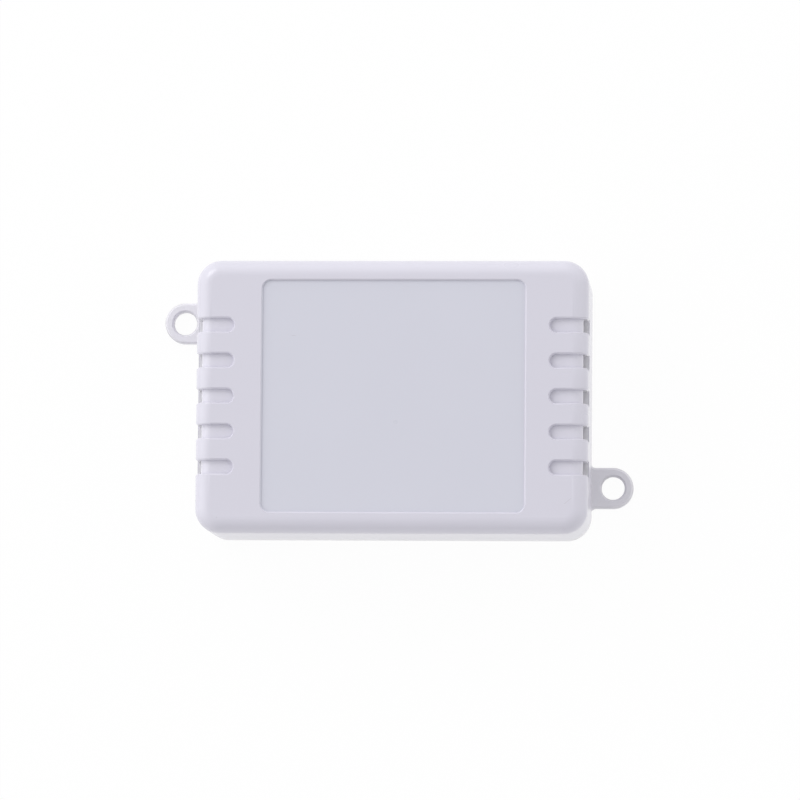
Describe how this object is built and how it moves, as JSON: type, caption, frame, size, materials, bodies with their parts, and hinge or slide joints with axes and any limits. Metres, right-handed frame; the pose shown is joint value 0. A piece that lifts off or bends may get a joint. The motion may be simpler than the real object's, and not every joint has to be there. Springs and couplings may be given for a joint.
{
  "type": "temperature humidity sensor",
  "caption": "Wall mounted temperature and humidity sensor: vented moulded case with diagonal mounting ears, circuit board, radio module, pairing switch and battery cells in a holder.",
  "frame": {"origin": "middle of the back face, which lies on z = 0", "axes": "+X along the long side towards the right ear seen from the front, +Y up the wall, +Z out of the front"},
  "size_m": [0.0974, 0.0558, 0.025],
  "materials": {
    "case_plastic": "fine matt moulded skin, pale grey with a lavender tint",
    "board_laminate": "green solder mask over glass laminate",
    "black_plastic": "moulded, slight sheen",
    "contact_steel": "nickel plated spring sheet",
    "cell_can": "printed film sleeve over a steel can, bare ends",
    "radio_laminate": "blue solder mask over glass laminate",
    "tinned_steel": "tinned sheet, satin",
    "antenna_ceramic": "glazed ceramic",
    "chip_resin": "moulded resin, fine matt",
    "ferrite": "sintered, dark grey",
    "capacitor_aluminium": "drawn can, satin",
    "plunger_plastic": "moulded, slight sheen",
    "cap_plastic": "moulded, fine matt",
    "membrane": "white porous film",
    "pin_brass": "thin gold plate",
    "lamp_plastic": "clear lens on a white base",
    "capacitor_ceramic": "tan ceramic with tinned ends",
    "resistor_ceramic": "black glaze with tinned ends"
  },
  "bodies": {
    "base": {"back_base": "case_plastic", "circuit_board": "board_laminate", "battery_holder": "black_plastic", "bridge_contact": "contact_steel", "positive_contact": "contact_steel", "negative_contact": "contact_steel", "radio_board": "radio_laminate", "shield_can": "tinned_steel", "chip_antenna": "antenna_ceramic", "microcontroller": "chip_resin", "memory_chip": "chip_resin", "regulator": "chip_resin", "diode": "chip_resin", "inductor": "ferrite", "crystal": "tinned_steel", "capacitor_base": "black_plastic", "capacitor_can": "capacitor_aluminium", "switch_housing": "black_plastic", "switch_plate": "tinned_steel", "switch_spring": "contact_steel", "sensor_chip": "chip_resin", "filter_cap": "cap_plastic", "filter_membrane": "membrane", "header_housing": "black_plastic", "header_pins": "pin_brass", "status_led": "lamp_plastic", "chip_capacitors": "capacitor_ceramic", "chip_resistors": "resistor_ceramic"},
    "cover": {"front_cover": "case_plastic"},
    "cell_1": {"cell_1": "cell_can"},
    "cell_2": {"cell_2": "cell_can"},
    "plunger": {"switch_plunger": "plunger_plastic"}
  },
  "joints": [
    {"name": "cover_lift", "type": "slide", "parent": "base", "child": "cover", "axis": [0, 0, 1], "range_m": [0, 0.06]},
    {"name": "cell_1_out", "type": "slide", "parent": "base", "child": "cell_1", "axis": [0, 0, 1], "range_m": [0, 0.03]},
    {"name": "cell_2_out", "type": "slide", "parent": "base", "child": "cell_2", "axis": [0, 0, 1], "range_m": [0, 0.03]},
    {"name": "plunger_press", "type": "slide", "parent": "base", "child": "plunger", "axis": [0, 0, -1], "range_m": [0, 0.00025], "stiffness_N_per_m": 4000, "deforming": ["switch_spring"]}
  ],
  "couplings": [
    {"joint": "cell_1_out", "follows": "cover_lift", "ratio": 0.5},
    {"joint": "cell_2_out", "follows": "cover_lift", "ratio": 0.5}
  ]
}
